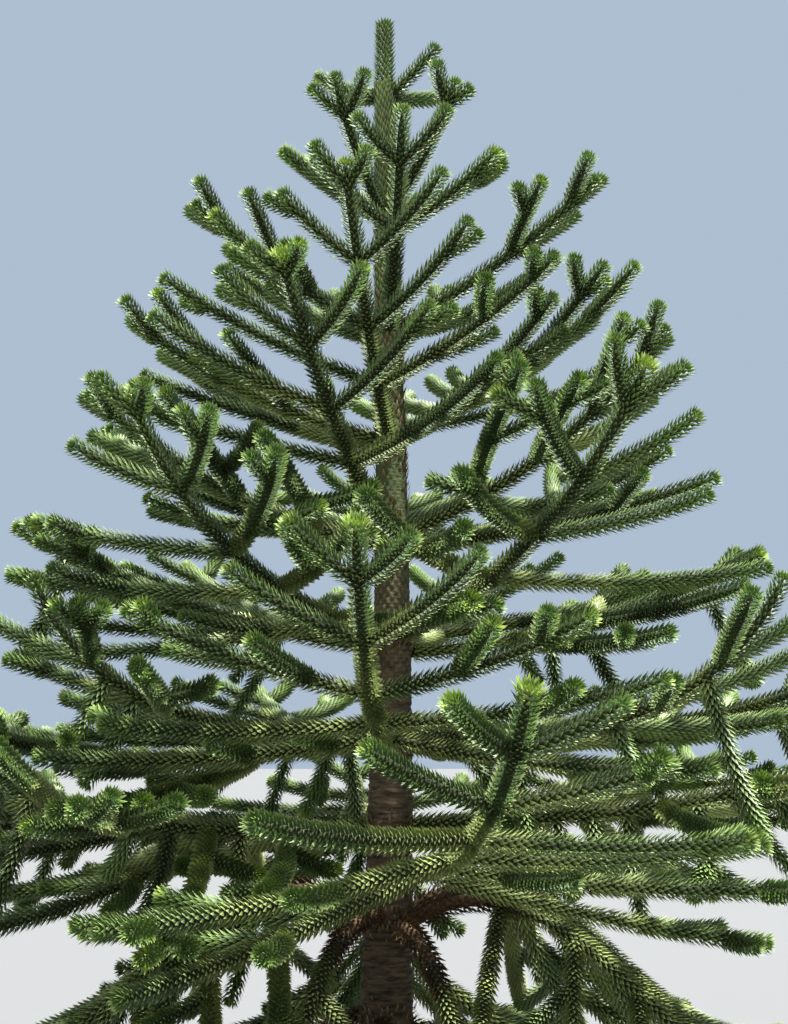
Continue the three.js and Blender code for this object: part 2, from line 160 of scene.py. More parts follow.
TIERS = (
    Tier(height=3950, old_rise=20, new_rise=30, reach=0, upturn=5, bare=500, boughs=(
        (-12, 0, 240, 42, 48, 1, 500), (172, -20, 250, 18, 32, 1, 500), (118, 10, 220, 12, 20, 1, 500),
        (38, -10, 240, 10, 20, 1, 500))),
    Tier(height=3500, old_rise=25, new_rise=28, reach=0.7, upturn=8, bare=160, boughs=(
        (-113, 0, 550, 30, 52, 1, 160), (-57, 20, 530, 28, 52, 1, 100), (14, -20, 480, 28, 36, 1, 140),
        (150, 10, 500, 32, 44, 1, 140), (88, -10, 420, 20, 35, 1, 150))),
    Tier(height=3080, old_rise=16, new_rise=28, reach=0.85, upturn=10, boughs=(
        (-86, 0, 840, 34, 50, 1, 200), (-18, 20, 850, 24, 42, 1, 140), (-170, 0, 780, 26, 42, 1, 160),
        (140, -20, 760, 20, 34, 1, 160), (52, 10, 780, 14, 32, 1, 160))),
    Tier(height=2700, old_rise=10, new_rise=26, reach=0.92, upturn=12, boughs=(
        (-99, 0, 1080, 30, 50, 1, 90), (2, 20, 960, 24, 46, 1, 200), (-178, 0, 950, 14, 38, 1, 120),
        (140, -20, 1020, 12, 34, 1, 140), (72, 20, 1000, 12, 34, 1, 160))),
    Tier(height=2350, old_rise=2, new_rise=26, reach=0.95, wander=8, bare=220, boughs=(
        (-109, 0, 1200, 27, 48, 1, 80), (-25, 20, 1140, 16, 52, 1, 140),
        (-160, -20, 1120, 8, 42, 1, 140), (152, 30, 1200, 6, 32, 1, 140), (98, 0, 1200, 6, 32, 1, 160),
        (36, -30, 1160, 8, 34, 1, 160))),
    Tier(height=2000, old_rise=-2, new_rise=24, reach=0.95, wander=9, bare=240, hanging=0.15, boughs=(
        (-54, 20, 1420, 14, 55, 1.4, 160), (-128, 0, 1380, 10, 60, 1.6, 80),
        (-171, -20, 1280, 6, 30, 1, 140), (128, 30, 1380, 0, 30, 1, 160), (72, 0, 1380, 2, 30, 1, 160),
        (6, -40, 1280, 4, 28, 1, 160))),
    Tier(height=1680, old_rise=-4, new_rise=22, reach=0.98, wander=5, bare=180, hanging=0.25, boughs=(
        (-94, -20, 1460, 0, 58, 1.4, 200), (-36, 0, 1520, -2, 66, 2.2, 340),
        (-145, 20, 1400, -2, 70, 2.2, 340), (178, -30, 1580, -6, 16, 1.5, 160),
        (112, 40, 1500, -6, 26, 1.5, 160), (62, -10, 1520, -6, 26, 1.5, 160),
        (14, 20, 1580, -3, 20, 1.5, 160))),
    Tier(height=1370, old_rise=-10, new_rise=20, reach=1.05, upturn=12, wander=7, hanging=0.8, boughs=(
        (-79, -130, 1830, 4, 57, 2.8, 220), (-154, 0, 1660, 0, 60, 2.6, 340),
        (-20, 20, 1660, 3, 34, 2.6, 300), (160, -30, 1620, 3, 16, 2, 160),
        (96, 30, 1600, -3, 26, 2, 160), (38, 0, 1620, 3, 20, 2, 160))),
    Tier(height=1080, old_rise=-30, new_rise=2, reach=1, wander=12, bare=320, droop=62, limb=300,
         hanging=0.8, boughs=(
        (-112, 10, 1500, 12, 10, 1, 200), (-28, -10, 1600, 36, 12, 1, 200),
        (-68, -20, 1350, 4, 6, 1, 200), (-152, 20, 1560, 38, 12, 1, 200), (20, 20, 1600, 34, 10, 1, 200),
        (160, -20, 1600, 34, 12, 1, 200), (95, 0, 1560, 24, 20, 1, 200))),
    Tier(height=760, old_rise=-26, new_rise=2, reach=0.95, wander=12, bare=320, hanging=0.5, boughs=(
        (-93, 0, 1400, -18, 16, 2.4, 200), (-168, 20, 1450, -20, 22, 2.4, 200),
        (-8, -20, 1450, -20, 22, 2.4, 200), (80, 0, 1350, -18, 18, 2.4, 200))),
)


class Draws:
    """A seeded run of random numbers."""

    def __init__(self, seed: int) -> None:
        """Start from a seed."""
        self.state = seed

    def between(self, low: float, high: float) -> float:
        """Return the next number between two limits."""
        self.state = self.state * DRAW_FACTOR % DRAW_MODULUS
        return low + (high - low) * self.state / DRAW_MODULUS


def trunk_centre(height: Numbers) -> Numbers:
    """Return how far the trunk's centre line leans to +X at a height."""
    share = np.clip(height, 0, TREE_HEIGHT) / TREE_HEIGHT
    return TRUNK_SWEEP * np.sin(math.pi * share) ** 2


def trunk_radius(height: Numbers) -> Numbers:
    """Return the trunk's radius at a height, without its lobes and collars.

    Args:
        height: heights over the ground.

    Returns:
        The radius at each height.
    """
    share = (height - WAIST_HEIGHT) / (TREE_HEIGHT - WAIST_HEIGHT)
    upper = WAIST_RADIUS + (TIP_RADIUS - WAIST_RADIUS) * share
    flare = FLARE_RADIUS * np.exp(-np.asarray(height, float) / FLARE_HEIGHT)
    lower = WAIST_RADIUS + (WAIST_HEIGHT - height) * SPREAD_BELOW_WAIST + flare
    return np.where(np.asarray(height) > WAIST_HEIGHT, upper, lower)


@dataclass(eq=False)
class Shoot:
    """One leafy shoot, whose heading swings and whose rise changes along it."""

    start: Array
    azimuth: float
    swing: float
    rise_start: float
    rise_end: float
    bend: float
    length: float
    level: int
    tier: int
    bough: int
    parent: int = -1
    fork: float = 0
    rank: int = 0
    droop: float = 0
    points: Array = field(init=False)

    def __post_init__(self) -> None:
        """Work out the points along the shoot."""
        count = max(2, math.ceil(self.length / SAMPLE_STEP))
        middles = self.length * (np.arange(count) + 0.5) / count
        steps = self.along(middles) * (self.length / count)
        self.points = np.vstack([self.start, self.start + np.cumsum(steps, axis=0)])

    def heading(self, distance: Numbers) -> Numbers:
        """Return the azimuth in degrees at distances from the root."""
        return self.azimuth + self.swing * distance / self.length

    def rise(self, distance: Numbers) -> Numbers:
        """Return the angle over the horizon in degrees at distances from the root.

        Args:
            distance: distances from the root.

        Returns:
            The angles.
        """
        share = np.maximum(distance / self.length, 0)
        drooped = self.droop * np.sin(math.pi * np.minimum(share, 1))
        return self.rise_start + (self.rise_end - self.rise_start) * share ** self.bend - drooped

    def along(self, distance: Numbers) -> Array:
        """Return the shoot's direction at distances from the root.

        Args:
            distance: distances from the root.

        Returns:
            The directions.
        """
        rise = np.radians(self.rise(distance))
        heading = np.radians(self.heading(distance))
        level = np.cos(rise)
        return np.stack([level * np.cos(heading), level * np.sin(heading), np.sin(rise)], axis=-1)

    def up(self, distance: Numbers) -> Array:
        """Return the direction square to the shoot that leans least from straight up.

        Args:
            distance: distances from the root.

        Returns:
            The directions.
        """
        rise = np.radians(self.rise(distance))
        heading = np.radians(self.heading(distance))
        level = -np.sin(rise)
        return np.stack([level * np.cos(heading), level * np.sin(heading), np.cos(rise)], axis=-1)

    def at(self, distance: Numbers) -> Array:
        """Return the points on the shoot's centre line at distances from the root.

        Args:
            distance: distances from the root.

        Returns:
            The points.
        """
        place = np.clip(np.asarray(distance, float) / self.length, 0, 1) * (len(self.points) - 1)
        index = np.minimum(np.floor(place).astype(int), len(self.points) - 2)
        share = (place - index)[..., None]
        return self.points[index] * (1 - share) + self.points[index + 1] * share

    def sections(self, distance: Array) -> tuple[Array, ...]:
        """Work out the shoot's cross-sections.

        Args:
            distance: distances from the root, less than 0 short of it.

        Returns:
            Centres, and the directions along the shoot, sideways and up.
        """
        along = self.along(np.maximum(distance, 0))
        up = self.up(np.maximum(distance, 0))
        centre = self.at(distance) + along * np.minimum(distance, 0)[:, None]
        return centre, along, np.cross(along, up), up


class Skeleton:
    """Every shoot of the tree: boughs, their side shoots, and fine twigs on those."""

    def __init__(self) -> None:
        """Grow the whole tree from the tiers."""
        self.draw = Draws(SEED).between
        self.shoots: list[Shoot] = []
        self.lows: list[Array] = []
        self.highs: list[Array] = []
        self.grow_boughs()
        for bough in [shoot for shoot in self.shoots if TIERS[shoot.tier].reach > 0]:
            self.grow_pairs(bough)
        for bough in [shoot for shoot in self.shoots if shoot.level == 0 and shoot.rank > 0]:
            self.grow_hanging(bough)
        for shoot in [shoot for shoot in self.shoots if shoot.level == 1]:
            if shoot.length >= TWIG_BEARER_LENGTH:
                self.grow_twigs(shoot)

    def keep(self, shoot: Shoot) -> None:
        """Add a shoot to the tree.

        Args:
            shoot: the shoot.
        """
        self.shoots.append(shoot)
        self.lows.append(shoot.points.min(axis=0))
        self.highs.append(shoot.points.max(axis=0))

    def grow_boughs(self) -> None:
        """Start the boughs on the trunk's surface, the first of every tier before the second."""
        most = max(len(tier.boughs) for tier in TIERS)
        for rank in range(most):
            for index, tier in enumerate(TIERS):
                if rank < len(tier.boughs):
                    azimuth, lift, length, rise_start, rise_end, bend, fork = tier.boughs[rank]
                    height = tier.height + lift
                    radius = trunk_radius(height) + BOUGH_START
                    x = trunk_centre(height) + radius * math.cos(math.radians(azimuth))
                    y = radius * math.sin(math.radians(azimuth))
                    start = np.array([x, y, height], float)
                    bough = len(self.shoots)
                    self.keep(Shoot(start, azimuth, 0, rise_start, rise_end, bend, length, level=0,
                                    tier=index, bough=bough, fork=fork, rank=rank, droop=tier.droop))

    def grow_pairs(self, bough: Shoot) -> None:
        """Grow pairs of side shoots from the last fork back to the bare stretch by the trunk.

        Args:
            bough: the bough that bears them.
        """
        tier = TIERS[bough.tier]
        from_tip = bough.fork
        while bough.length - from_tip > tier.bare:
            age = min(1, from_tip / FULL_AGE_REACH)
            rise_here = bough.rise(bough.length - from_tip)
            for side in (-1, 1):
                full_length = SIDE_LENGTH_BASE + tier.reach * from_tip * SIDE_LENGTH_SHARE
                length = min(full_length * self.draw(*LENGTH_DRAW), SIDE_LENGTH_LIMIT)
                rise = (tier.new_rise * (1 - age) + tier.old_rise * age
                        + RISE_CARRIED_OVER * (rise_here - LEVEL_RISE)
                        + self.draw(-tier.wander, tier.wander))
                turn = side * (self.draw(*SPREAD_DRAW) + OLD_SPREAD * age)
                self.add_side(bough, bough.length - from_tip, side, turn, length, rise, tier.upturn)
            from_tip += FORK_SPACING * self.draw(*SPACING_DRAW)

    def grow_hanging(self, bough: Shoot) -> None:
        """Grow side shoots that hang from under a low bough.

        Args:
            bough: the bough that bears them.
        """
        tier = TIERS[bough.tier]
        from_tip = bough.fork + HANGING_SPACING / 2
        while bough.length - from_tip > tier.bare:
            side = 1 if self.draw(0, 1) < 0.5 else -1
            turn = side * self.draw(*HANGING_TURN_DRAW)
            length = self.draw(*HANGING_LENGTH_DRAW)
            rise = self.draw(*HANGING_RISE_DRAW)
            if self.draw(0, 1) < tier.hanging:
                self.add_side(bough, bough.length - from_tip, side, turn, length, rise, HANGING_UPTURN)
            from_tip += HANGING_SPACING

    def grow_twigs(self, shoot: Shoot) -> None:
        """Grow short twigs on both sides of a side shoot, with gaps.

        Args:
            shoot: the side shoot that bears them.
        """
        from_tip = self.draw(*TWIG_FIRST_DRAW)
        while shoot.length - from_tip > TWIG_ROOT_MARGIN:
            rise_here = shoot.rise(shoot.length - from_tip)
            for side in (-1, 1):
                if self.draw(0, 1) >= TWIG_SKIPPED:
                    full_length = TWIG_LENGTH_BASE + TWIG_LENGTH_SHARE * from_tip
                    length = min(full_length * self.draw(*TWIG_LENGTH_DRAW), TWIG_LENGTH_LIMIT)
                    turn = side * self.draw(*TWIG_SPREAD_DRAW)
                    rise = rise_here * TWIG_RISE_SHARE + self.draw(-TWIG_WANDER, TWIG_WANDER)
                    self.add_side(shoot, shoot.length - from_tip, side, turn, length, rise, TWIG_UPTURN)
            from_tip += FORK_SPACING * self.draw(*TWIG_SPACING_DRAW)

    def add_side(self, parent: Shoot, distance: float, side: int, turn: float, length: float, rise: float,
                 upturn: float) -> None:
        """Add a side shoot, shortened until it is clear of its neighbours, or skip it.

        Args:
            parent: the shoot that bears it.
            distance: its place on the parent, from the parent's root.
            side: 1 for the left side and -1 for the right.
            turn: its azimuth against the parent's.
            length: its full length.
            rise: its angle over the horizon at its root.
            upturn: how much it turns up towards its tip.
        """
        start = parent.at(distance)
        azimuth = parent.heading(distance) + turn
        index = self.shoots.index(parent)
        for share in SHORTENED_TO:
            if length * share >= SHORTEST_SHOOT:
                shoot = Shoot(start, azimuth, -side * SIDE_SWING, rise, rise + upturn, SIDE_BEND,
                              length * share, level=parent.level + 1, tier=parent.tier,
                              bough=parent.bough, parent=index)
                if self.is_clear(shoot):
                    self.keep(shoot)
                    return

    def is_clear(self, shoot: Shoot) -> bool:
        """Test whether a shoot keeps off the trunk, the ground and every other shoot.

        Args:
            shoot: the shoot.

        Returns:
            True where it is clear of them all.
        """
        outer = shoot.points[POINTS_BY_ROOT:]
        from_trunk = np.hypot(outer[:, 0] - trunk_centre(outer[:, 2]), outer[:, 1])
        reach = trunk_radius(outer[:, 2]) + TRUNK_CLEARANCE
        near_trunk = (outer[:, 2] < TREE_HEIGHT) & (from_trunk < reach)
        if near_trunk.any() or (outer[:, 2] < GROUND_CLEARANCE).any():
            return False
        low = outer.min(axis=0) - ROPE_CLEARANCE
        high = outer.max(axis=0) + ROPE_CLEARANCE
        near = np.flatnonzero(((np.array(self.highs) >= low) & (np.array(self.lows) <= high)).all(axis=1))
        for index in near:
            is_parent = index == shoot.parent
            tested = outer[POINTS_BY_ROOT:] if is_parent else outer
            clearance = PARENT_CLEARANCE if is_parent else ROPE_CLEARANCE
            gaps = np.linalg.norm(tested[:, None] - self.shoots[index].points[None], axis=2)
            if gaps.size and gaps.min() < clearance:
                return False
        return True


def mesh_object(name: str, vertices: Array, faces: Array, shares: Array | None = None) -> Object:
    """Make an object from arrays.

    Args:
        name: the piece's name.
        vertices: points in metres, one row each.
        faces: vertex numbers, one row of three or four for each face.
        shares: a number for each vertex, kept as the attribute "share".

    Returns:
        The new object, at the origin.
    """
    mesh = bpy.data.meshes.new(name)
    corners = faces.shape[1]
    mesh.vertices.add(len(vertices))
    mesh.vertices.foreach_set("co", np.ascontiguousarray(vertices, np.float32).ravel())
    mesh.loops.add(faces.size)
    mesh.loops.foreach_set("vertex_index", np.ascontiguousarray(faces, np.int32).ravel())
    mesh.polygons.add(len(faces))
    mesh.polygons.foreach_set("loop_start", np.arange(0, faces.size, corners, dtype=np.int32))
    mesh.update(calc_edges=True)
    if shares is not None:
        set_shares(mesh, shares)
    piece = bpy.data.objects.new(name, mesh)
    bpy.context.collection.objects.link(piece)
    return piece


def set_shares(mesh: Mesh, shares: Array) -> None:
    """Keep a number for each of a mesh's points as the attribute "share"."""
    layer = mesh.attributes.new("share", "FLOAT", "POINT")
    layer.data.foreach_set("value", np.ascontiguousarray(shares, np.float32))


def points_of(mesh: Mesh) -> Array:
    """Return a mesh's points, one row each.

    Args:
        mesh: the mesh.

    Returns:
        Each point's place, in the mesh's own units.
    """
    flat = np.empty(len(mesh.vertices) * 3, np.float32)
    mesh.vertices.foreach_get("co", flat)
    return flat.reshape(-1, 3).astype(float)


def move_points(mesh: Mesh, placed: Array) -> None:
    """Move a mesh's points to places in millimetres."""
    mesh.vertices.foreach_set("co", np.ascontiguousarray(placed * MM, np.float32).ravel())
    mesh.update()


def extruded_cylinder(name: str, sides: int, steps: list[float]) -> Object:
    """Extrude a circle of radius 1 upwards, ring by ring.

    Args:
        name: the piece's name.
        sides: how many sides it has.
        steps: each ring's height over the one below.

    Returns:
        A closed cylinder that stands on the origin.
    """
    bpy.ops.object.select_all(action="DESELECT")
    bpy.ops.mesh.primitive_circle_add(vertices=sides, radius=1, fill_type="NGON")
    piece = bpy.context.object
    piece.name = name
    bpy.ops.object.mode_set(mode="EDIT")
    bpy.ops.mesh.select_all(action="SELECT")
    for step in steps:
        bpy.ops.mesh.extrude_region_move(TRANSFORM_OT_translate={"value": (0, 0, step)})
    turn_outwards()
    return piece


def turn_outwards() -> None:
    """Turn the active object's faces outwards and leave it in object mode."""
    bpy.ops.object.mode_set(mode="EDIT")
    bpy.ops.mesh.select_all(action="SELECT")
    bpy.ops.mesh.normals_make_consistent(inside=False)
    bpy.ops.object.mode_set(mode="OBJECT")


# The screen's tone curve: a straight foot, then a power
FOOT_END = 0.04045
FOOT_SLOPE = 12.92
CURVE_OFFSET = 0.055
CURVE_POWER = 2.4


def linear(red: float, green: float, blue: float) -> tuple[float, float, float, float]:
    """Return a screen colour, 0 to 255, as a linear colour.

    Args:
        red: how much red it has.
        green: how much green it has.
        blue: how much blue it has.

    Returns:
        The linear colour, with an alpha of 1.
    """
    parts = []
    for value in (red, green, blue):
        share = value / 255
        curve = ((share + CURVE_OFFSET) / (1 + CURVE_OFFSET)) ** CURVE_POWER
        parts.append(share / FOOT_SLOPE if share <= FOOT_END else curve)
    return (*parts, 1)


def add_node(tree: NodeTree, kind: str, inputs: dict[str | int, object] | None = None,
             **settings: object) -> Node:
    """Add a node.

    Args:
        tree: the tree that it goes into.
        kind: the node's type.
        inputs: each input's plain value, or the output that it is linked to.
        settings: the node's own settings.

    Returns:
        The new node.
    """
    node = tree.nodes.new(kind)
    for name, value in settings.items():
        setattr(node, name, value)
    join(tree, node, inputs or {})
    return node


def join(tree: NodeTree, node: Node, inputs: dict[str | int, object]) -> None:
    """Set a node's inputs: an output is linked, and anything else is a plain value.

    Args:
        tree: the node's tree.
        node: the node.
        inputs: what each input is given.
    """
    for name, value in inputs.items():
        if isinstance(value, NodeSocket):
            tree.links.new(value, node.inputs[name])
        else:
            node.inputs[name].default_value = value


def add_range(tree: NodeTree, value: NodeSocket, source: tuple[float, float] = (0, 1),
              target: tuple[object, float] = (0, 1), **settings: object) -> NodeSocket:
    """Map a value from one range to another, stopping at its ends, and return the result."""
    ends = {"From Min": source[0], "From Max": source[1], "To Min": target[0], "To Max": target[1]}
    return add_node(tree, "ShaderNodeMapRange", {"Value": value, **ends}, **settings).outputs["Result"]


# The colours of a blend node, whose names its other inputs and outputs bear too
BLEND_INPUTS = (6, 7)
BLEND_OUTPUT = 2


def add_blend(tree: NodeTree, factor: NodeSocket, first: object, second: object) -> NodeSocket:
    """Blend a colour into a second one, each plain or an output, and return the blend."""
    inputs = {"Factor": factor, BLEND_INPUTS[0]: first, BLEND_INPUTS[1]: second}
    return add_node(tree, "ShaderNodeMix", inputs, data_type="RGBA").outputs[BLEND_OUTPUT]


def add_place(tree: NodeTree) -> NodeSocket:
    """Return an output with the place on the object."""
    return add_node(tree, "ShaderNodeTexCoord").outputs["Object"]


def add_share(tree: NodeTree) -> NodeSocket:
    """Return an output with the attribute "share"."""
    return add_node(tree, "ShaderNodeAttribute", attribute_name="share").outputs["Fac"]


COLOUR_SOCKET = "NodeSocketColor"
NUMBER_SOCKET = "NodeSocketFloat"


def new_group(name: str, inputs: dict[str, str], outputs: dict[str, str]) -> tuple[NodeTree, NodeOutputs]:
    """Make a node group with named sockets.

    Args:
        name: the group's name.
        inputs: each input's name and kind.
        outputs: each output's name and kind.

    Returns:
        The group, and what its inputs are given.
    """
    group = bpy.data.node_groups.new(name, "ShaderNodeTree")
    for in_out, kinds in (("INPUT", inputs), ("OUTPUT", outputs)):
        for socket_name, kind in kinds.items():
            group.interface.new_socket(name=socket_name, in_out=in_out, socket_type=kind)
    return group, add_node(group, "NodeGroupInput").outputs


def new_material(name: str) -> tuple[Material, NodeTree, Node]:
    """Make a material.

    Args:
        name: the material's name.

    Returns:
        The material, its node tree and its shader.
    """
    material = bpy.data.materials.new(name)
    material.use_nodes = True
    return material, material.node_tree, material.node_tree.nodes["Principled BSDF"]


# Leaves: soft patches of tone that differ at random, each leaf dark at its root and pale at its tip: the
# dark root is painted shade between the leaves, and the pale tip is partly the leaf's own colour and partly
# a painted highlight
PATCH_SCALE = 9
PATCH_DETAIL = 2
PATCH_NOISE = (0.3, 0.7)
PATCH_TONES = (0.78, 1.2)
# where the tip colour, partly a painted highlight, starts to blend in along each leaf
TIP_HIGHLIGHT_FROM = 0.55
LEAF_SPECULAR = 0.45


@cache
def tone_and_painted_light_group() -> NodeTree:
    """Make the group that varies a colour over broad soft patches and from root to tip: painted shade
    towards each leaf's root, and a paler tip that is partly a painted highlight.

    Returns:
        The group, made once.
    """
    group, given = new_group("leaf tone and painted light", {"Colour": COLOUR_SOCKET, "Tip colour and highlight": COLOUR_SOCKET,
                                          "Root shade": NUMBER_SOCKET}, {"Colour": COLOUR_SOCKET})
    share = add_share(group)
    patches = add_node(group, "ShaderNodeTexNoise", {
        "Vector": add_place(group), "Scale": PATCH_SCALE, "Detail": PATCH_DETAIL})
    patch_tone = add_range(group, patches.outputs["Fac"], PATCH_NOISE, PATCH_TONES)
    # painted shade: each leaf darker towards its root, where the gaps between leaves lie
    root_tone = add_range(group, share, target=(given["Root shade"], 1))
    tone = add_node(group, "ShaderNodeMath", {0: patch_tone, 1: root_tone}, operation="MULTIPLY")
    # the tip colour, partly the leaf's own and partly a painted highlight
    tip_highlight_share = add_range(group, share, (TIP_HIGHLIGHT_FROM, 1))
    blend = add_blend(group, tip_highlight_share, given["Colour"], given["Tip colour and highlight"])
    shaded = add_node(group, "ShaderNodeVectorMath", {0: blend, "Scale": tone.outputs["Value"]},
                      operation="SCALE")
    add_node(group, "NodeGroupOutput", {"Colour": shaded.outputs["Vector"]})
    return group


@dataclass(frozen=True)
class LeafFinish:
    """The finish of one kind of leaf: its colour, its tip's colour, partly a painted highlight, the painted
    shade at its root, and its gloss.
    """

    name: str
    slot: str
    colour: Colour
    tip_colour_and_highlight: Colour
    roughness: float
    # how dark each leaf's root is painted: painted shade in the gaps between the leaves
    root_shade: float = 0.5

    @cache
    def material(self) -> Material:
        """Make the material.

        Returns:
            The material, made once.
        """
        material, tree, shader = new_material(self.name)
        colouring = add_node(tree, "ShaderNodeGroup", {
            "Colour": linear(*self.colour), "Tip colour and highlight": linear(*self.tip_colour_and_highlight),
            "Root shade": self.root_shade}, node_tree=tone_and_painted_light_group())
        join(tree, shader, {"Base Color": colouring.outputs["Colour"], "Roughness": self.roughness,
                            "Specular IOR Level": LEAF_SPECULAR})
        return material


class LeafKind(Enum):
    """The kinds of leaf, each with its own finish."""

    BUD = LeafFinish("bud_leaves", "young_leaves", (150, 176, 62), (192, 208, 104), 0.6, 0.5)
    FRESH = LeafFinish("fresh_leaves", "leaves", (94, 130, 52), (176, 196, 112), 0.54, 0.2)
    GREEN = LeafFinish("green_leaves", "leaves", (94, 123, 57), (188, 203, 138), 0.54, 0.12)
    # old leaves: partly their own yellower colour, partly painted light, kept brighter than the green
    # leaves to stand in for the sun on the low boughs
    OLD_AND_PAINTED_LIGHT = LeafFinish("old_leaves_and_painted_light", "shaded_leaves", (144, 163, 82), (212, 220, 152), 0.54, 0.13)
    STEM = LeafFinish("stem_leaves", "young_leaves", (104, 122, 58), (178, 188, 118), 0.54, 0.2)
    DEAD = LeafFinish("dead_leaves", "dead_leaf_limb", (92, 72, 46), (156, 128, 86), 0.7, 0.4)
    DRY = LeafFinish("dry_leaves", "bark", (118, 100, 66), (190, 168, 122), 0.75)


BY_AGE = (LeafKind.BUD, LeafKind.FRESH, LeafKind.GREEN, LeafKind.OLD_AND_PAINTED_LIGHT, LeafKind.DEAD)


@dataclass(frozen=True)
class LeafShape:
    """One scale leaf's sizes in millimetres: a keeled blade with a sharp tip."""

    length: float
    width: float
    lean: float
    widest: float = 0.34
    bow: float = 0.08
    keel: float = 0.05


ROPE_LEAF = LeafShape(length=33, width=11, lean=52, bow=0.12)
LEADER_LEAF = LeafShape(length=35, width=13, lean=46, bow=0.1)
STEM_LEAF = LeafShape(length=40, width=18, lean=20, bow=0.04)
DEAD_LEAF = LeafShape(length=36, width=13, lean=44)
COLLAR_LEAF = LeafShape(length=38, width=13, lean=48)

LEAF_FACES = np.array([(0, 3, 1), (1, 2, 4), (2, 3, 4)])
# each leaf point's share from root to tip: root, left, keel, right, tip; the dark root and the keel darker
# than the margins are painted shade, and the pale tip is partly a painted highlight
LEAF_SHARES = np.array([0, 0.6, 0.25, 0.6, 1])


@dataclass
class LeafCoat:
    """Gathers the leaves of the whole tree by tier and kind, and makes one piece of each."""

    rng: np.random.Generator = field(default_factory=lambda: np.random.default_rng(SEED))
    batches: dict[tuple[str, LeafKind], list[Array]] = field(default_factory=dict)

    def add(self, tier: str, kind: LeafKind, blades: Array) -> None:
        """Add blades, each of five points, to the batch of a tier and kind."""
        if len(blades):
            self.batches.setdefault((tier, kind), []).append(blades)

    def blades(self, roots: Array, along: Array, outward: Array, lean: Array,
               length: Array, shape: LeafShape) -> Array:
        """Work out leaves that stand on a stem.

        Args:
            roots: each leaf's root.
            along: the stem's direction at each leaf.
            outward: each leaf's direction away from the stem.
            lean: each leaf's angle to the stem in radians.
            length: each leaf's length.
            shape: the leaf's proportions.

        Returns:
            Five points for each leaf: root, left, keel, right and tip.
        """
        pointing = along * np.cos(lean)[:, None] + outward * np.sin(lean)[:, None]
        back = outward * np.cos(lean)[:, None] - along * np.sin(lean)[:, None]
        across = np.cross(along, outward)
        size = length[:, None]
        width = shape.width * size / shape.length
        middle = roots + pointing * size * shape.widest + back * size * shape.bow
        return np.stack([roots, middle - across * width / 2, middle + back * size * shape.keel,
                         middle + across * width / 2, roots + pointing * size], axis=1)

    def clothe(self, shoot: Shoot, span: tuple[float, float], per_metre: float, core: tuple[float, float],
               shape: LeafShape, scale: float = 1, tipped: bool = True, swell: float = 0
               ) -> tuple[Array, Array]:
        """Set leaves in a spiral along a shoot, and a dome of them over its tip.

        Args:
            shoot: the shoot.
            span: where the first and last leaves are rooted, from the shoot's root.
            per_metre: how many leaves a metre of shoot bears.
            core: the stem's radius at the root and at the tip.
            shape: the leaf.
            scale: how large the leaves are against the shape.
            tipped: whether a dome of leaves closes the end.
            swell: how much thicker the shoot's tip is than the rest.

        Returns:
            The blades, and each one's distance from the shoot's tip.
        """
        count = max(0, int((span[1] - span[0]) * per_metre * MM))
        spaced = span[0] + (span[1] - span[0]) * (np.arange(count) + 0.5) / max(count, 1)
        dome = (np.arange(DOME_LEAVES if tipped else 0) + 0.5) / DOME_LEAVES
        distance = np.concatenate([spaced, span[1] + DOME_RISE * dome])
        share = np.concatenate([np.zeros(count), dome])
        total = len(share)
        turn = np.arange(total) * GOLDEN_ANGLE + shoot.azimuth + self.rng.normal(0, TURN_WANDER, total)
        lean = math.radians(shape.lean) * np.sqrt(1 - share) + self.rng.normal(0, LEAN_WANDER, total)
        length = shape.length * scale * (1 - DOME_SHORTENING * share)
        length = length * self.rng.uniform(*LENGTH_WANDER, total)
        to_tip = shoot.length - distance
        swelling = 1 + swell * np.exp(-((to_tip - TIP_REACH) / SWELL_REACH) ** 2)
        length = length * swelling
        centre, along, side, up = shoot.sections(distance)
        outward = side * np.sin(turn)[:, None] + up * np.cos(turn)[:, None]
        radius = (core[0] + (core[1] - core[0]) * distance / shoot.length) * swelling
        closing = np.clip(lean / math.radians(shape.lean), DOME_MIDDLE, 1)
        radius = radius * np.sqrt(closing) - LEAF_SINK
        return self.blades(centre + outward * radius[:, None], along, outward, lean, length, shape), to_tip

    def pieces(self) -> Iterator[tuple[str, LeafKind, Object]]:
        """Make one piece from each batch.

        Yields:
            Each piece's tier, its kind of leaf and its object.
        """
        for (tier, kind), parts in self.batches.items():
            blades = np.concatenate(parts) * MM
            count = len(blades)
            faces = LEAF_FACES[None] + len(LEAF_SHARES) * np.arange(count)[:, None, None]
            piece = mesh_object(f"{kind.value.name}_{tier}", blades.reshape(-1, 3), faces.reshape(-1, 3),
                                np.tile(LEAF_SHARES, count))
            piece.data.materials.append(kind.value.material())
            yield tier, kind, piece


# Leafy shoots, in millimetres
LEAVES_PER_METRE = 790
LEADER_LEAVES_PER_METRE = 1100
LIMB_LEAVES_PER_METRE = 640
DOME_LEAVES = 34
DOME_RISE = 10
DOME_SHORTENING = 0.45
DOME_MIDDLE = 0.05
TURN_WANDER = 0.03
LEAN_WANDER = 0.035
LENGTH_WANDER = (0.93, 1.05)
BUD_SWELL = 0.24
SWELL_REACH = 34
TOP_SCALE = 1.02
SCALE_PER_TIER = 0.011
BOUGH_CORE = (17, 12.5)
SIDE_CORE = (13, 12)
TWIG_CORE = (12, 11)
LEADER_CORE = (22, 16)
LEAF_SINK = 2
TIP_REACH = 28
SIDE_FIRST_LEAF = 14
BUD_REACH = 46
FIRST_BRIGHT_TIER = 3
FRESH_REACH = 170
GREEN_REACH = 560
AGE_BLUR = 14
DEAD_REACH = 130
FIRST_DEAD_TIER = 8
CORE_SIDES = 6
CORE_STEP = 70
CORE_FEWEST_RINGS = 3
CORE_TIP = 0.35

